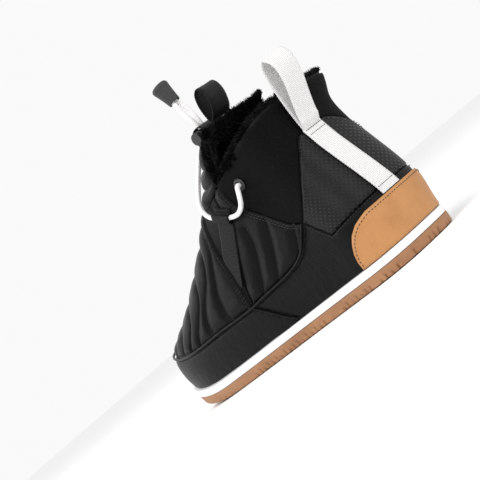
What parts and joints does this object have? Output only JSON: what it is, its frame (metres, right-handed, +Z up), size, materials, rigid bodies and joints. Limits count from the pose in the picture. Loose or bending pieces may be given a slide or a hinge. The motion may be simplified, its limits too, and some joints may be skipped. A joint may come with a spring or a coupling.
{
  "type": "snowboard boot",
  "caption": "Left slip-on snow boot with quilted upper, fur lining, stretch side panels, leather heel patch, pull loops and an elastic cord with a lock.",
  "frame": {"origin": "on the ground under the middle of the sole, taken over its length and width", "axes": "+Z up, +Y towards the toe, +X towards the inner side of this left boot"},
  "size_m": [0.1091, 0.2943, 0.2067],
  "materials": {
    "gum_rubber": "matte gum rubber",
    "white_foam": "smooth white foam rubber",
    "board": "pressed fibre board",
    "fur": "short curly pile",
    "smooth_nylon": "smooth coated fabric with a soft sheen",
    "textured_panel": "coated fabric embossed with small bumps",
    "elastic": "matte woven elastic with fine twill",
    "quilted_nylon": "quilted nylon with a soft sheen",
    "tan_leather": "fine grained, painted edge",
    "white_webbing": "ribbed webbing",
    "black_webbing": "ribbed webbing",
    "black_plastic": "fine matte",
    "spring_steel": "bright wire",
    "white_cord": "braided sleeve over rubber"
  },
  "bodies": {
    "boot": {"outsole": "gum_rubber", "midsole": "white_foam", "insole_board": "board", "footbed": "fur", "toe_rand": "smooth_nylon", "rear_guard_left": "smooth_nylon", "rear_guard_right": "smooth_nylon", "heel_panel": "textured_panel", "gore_left": "elastic", "gore_right": "elastic", "quarter_left": "quilted_nylon", "quarter_right": "quilted_nylon", "gusset_left": "elastic", "gusset_right": "elastic", "vamp": "quilted_nylon", "front_collar": "quilted_nylon", "lining_left": "fur", "lining_right": "fur", "heel_counter": "tan_leather", "piping_left": "smooth_nylon", "piping_right": "smooth_nylon", "heel_strap": "white_webbing", "lock_keeper": "black_webbing", "cord_lock_body": "black_plastic", "cord_lock_spring": "spring_steel", "keeper_strap_left": "black_webbing", "keeper_strap_right": "black_webbing", "eyelet_left": "black_plastic", "eyelet_right": "black_plastic", "bungee_left": "white_cord", "bungee_right": "white_cord"},
    "plunger": {"cord_lock_plunger": "black_plastic"},
    "cord_tail": {"tail_strand_left": "white_cord", "tail_strand_right": "white_cord", "cord_bell": "black_plastic"},
    "heel_loop": {"heel_pull_loop": "white_webbing"},
    "front_loop": {"front_pull_loop": "black_webbing"}
  },
  "joints": [
    {"name": "cord_lock_button", "type": "slide", "parent": "boot", "child": "plunger", "axis": [1, 0, 0], "range_m": [0, 0.002], "stiffness_N_per_m": 1500, "deforming": ["cord_lock_spring"]},
    {"name": "cord_tail_swing", "type": "hinge", "parent": "boot", "child": "cord_tail", "pos_m": [-0.00197, -0.04177, 0.16445], "axis": [1, 0, 0], "range_deg": [-55, 12], "stiffness_Nm_per_rad": 0.004},
    {"name": "heel_loop_fold", "type": "hinge", "parent": "boot", "child": "heel_loop", "pos_m": [-0.00197, -0.12697, 0.1108], "axis": [1, 0, 0], "range_deg": [-2, 85], "stiffness_Nm_per_rad": 0.02},
    {"name": "front_loop_fold", "type": "hinge", "parent": "boot", "child": "front_loop", "pos_m": [-0.00197, -0.06367, 0.158], "axis": [1, 0, 0], "range_deg": [-10, 25], "stiffness_Nm_per_rad": 0.02}
  ]
}
